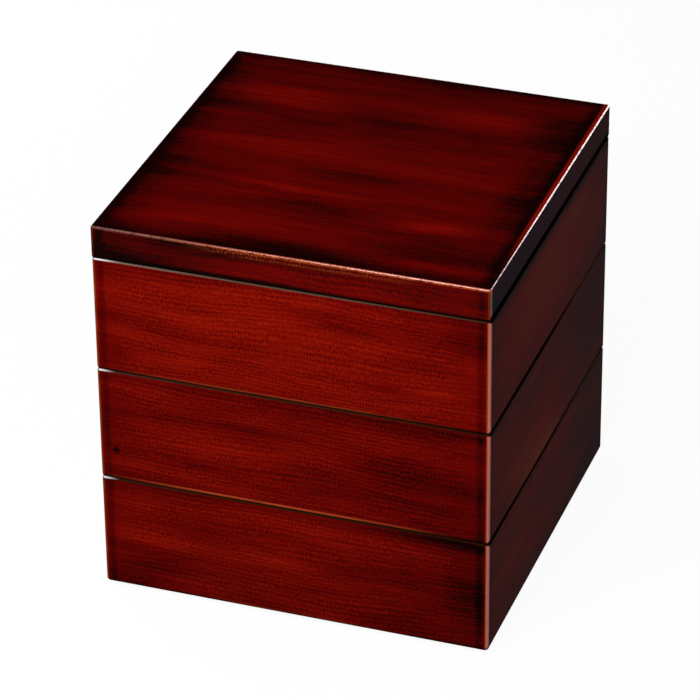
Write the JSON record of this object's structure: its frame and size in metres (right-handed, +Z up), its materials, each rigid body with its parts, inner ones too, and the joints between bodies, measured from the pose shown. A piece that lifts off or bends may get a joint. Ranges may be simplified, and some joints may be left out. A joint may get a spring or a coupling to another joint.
{
  "type": "stacking box",
  "caption": "Square stacking box of nesting tiers with a flat lift-off lid, in translucent red-brown lacquer over wood grain.",
  "frame": {"origin": "middle of the ground that the bottom tier's foot stands on", "axes": "+Z up, -Y towards the front wall, +X towards the right wall seen from the front"},
  "size_m": [0.195, 0.195, 0.2],
  "materials": {
    "wall_lacquer": "translucent red-brown gloss lacquer over grain, vermilion inside",
    "lid_lacquer": "translucent red-brown gloss lacquer over grain, darker towards the edges, vermilion underneath",
    "rail_lacquer": "translucent red-brown gloss lacquer over grain",
    "foot_lacquer": "near-black brown lacquer",
    "vermilion_lacquer": "opaque vermilion satin lacquer",
    "bare_wood": "bare planed wood"
  },
  "bodies": {
    "bottom_tier": {"bottom_tier_front_wall": "wall_lacquer", "bottom_tier_right_wall": "wall_lacquer", "bottom_tier_back_wall": "wall_lacquer", "bottom_tier_left_wall": "wall_lacquer", "bottom_tier_floor_board": "vermilion_lacquer", "bottom_tier_corner_splines": "bare_wood", "bottom_tier_front_foot": "foot_lacquer", "bottom_tier_right_foot": "foot_lacquer", "bottom_tier_back_foot": "foot_lacquer", "bottom_tier_left_foot": "foot_lacquer"},
    "middle_tier": {"middle_tier_front_wall": "wall_lacquer", "middle_tier_right_wall": "wall_lacquer", "middle_tier_back_wall": "wall_lacquer", "middle_tier_left_wall": "wall_lacquer", "middle_tier_floor_board": "vermilion_lacquer", "middle_tier_corner_splines": "bare_wood", "middle_tier_front_foot": "foot_lacquer", "middle_tier_right_foot": "foot_lacquer", "middle_tier_back_foot": "foot_lacquer", "middle_tier_left_foot": "foot_lacquer"},
    "top_tier": {"top_tier_front_wall": "wall_lacquer", "top_tier_right_wall": "wall_lacquer", "top_tier_back_wall": "wall_lacquer", "top_tier_left_wall": "wall_lacquer", "top_tier_floor_board": "vermilion_lacquer", "top_tier_corner_splines": "bare_wood", "top_tier_front_foot": "foot_lacquer", "top_tier_right_foot": "foot_lacquer", "top_tier_back_foot": "foot_lacquer", "top_tier_left_foot": "foot_lacquer"},
    "lid": {"lid_panel": "lid_lacquer", "lid_front_rail": "rail_lacquer", "lid_right_rail": "rail_lacquer", "lid_back_rail": "rail_lacquer", "lid_left_rail": "rail_lacquer", "lid_front_batten": "vermilion_lacquer", "lid_right_batten": "vermilion_lacquer", "lid_back_batten": "vermilion_lacquer", "lid_left_batten": "vermilion_lacquer"}
  },
  "joints": [
    {"name": "middle_tier_lift", "type": "slide", "parent": "bottom_tier", "child": "middle_tier", "axis": [0, 0, 1], "range_m": [0, 0.12]},
    {"name": "top_tier_lift", "type": "slide", "parent": "middle_tier", "child": "top_tier", "axis": [0, 0, 1], "range_m": [0, 0.12]},
    {"name": "lid_lift", "type": "slide", "parent": "top_tier", "child": "lid", "axis": [0, 0, 1], "range_m": [0, 0.12]}
  ]
}
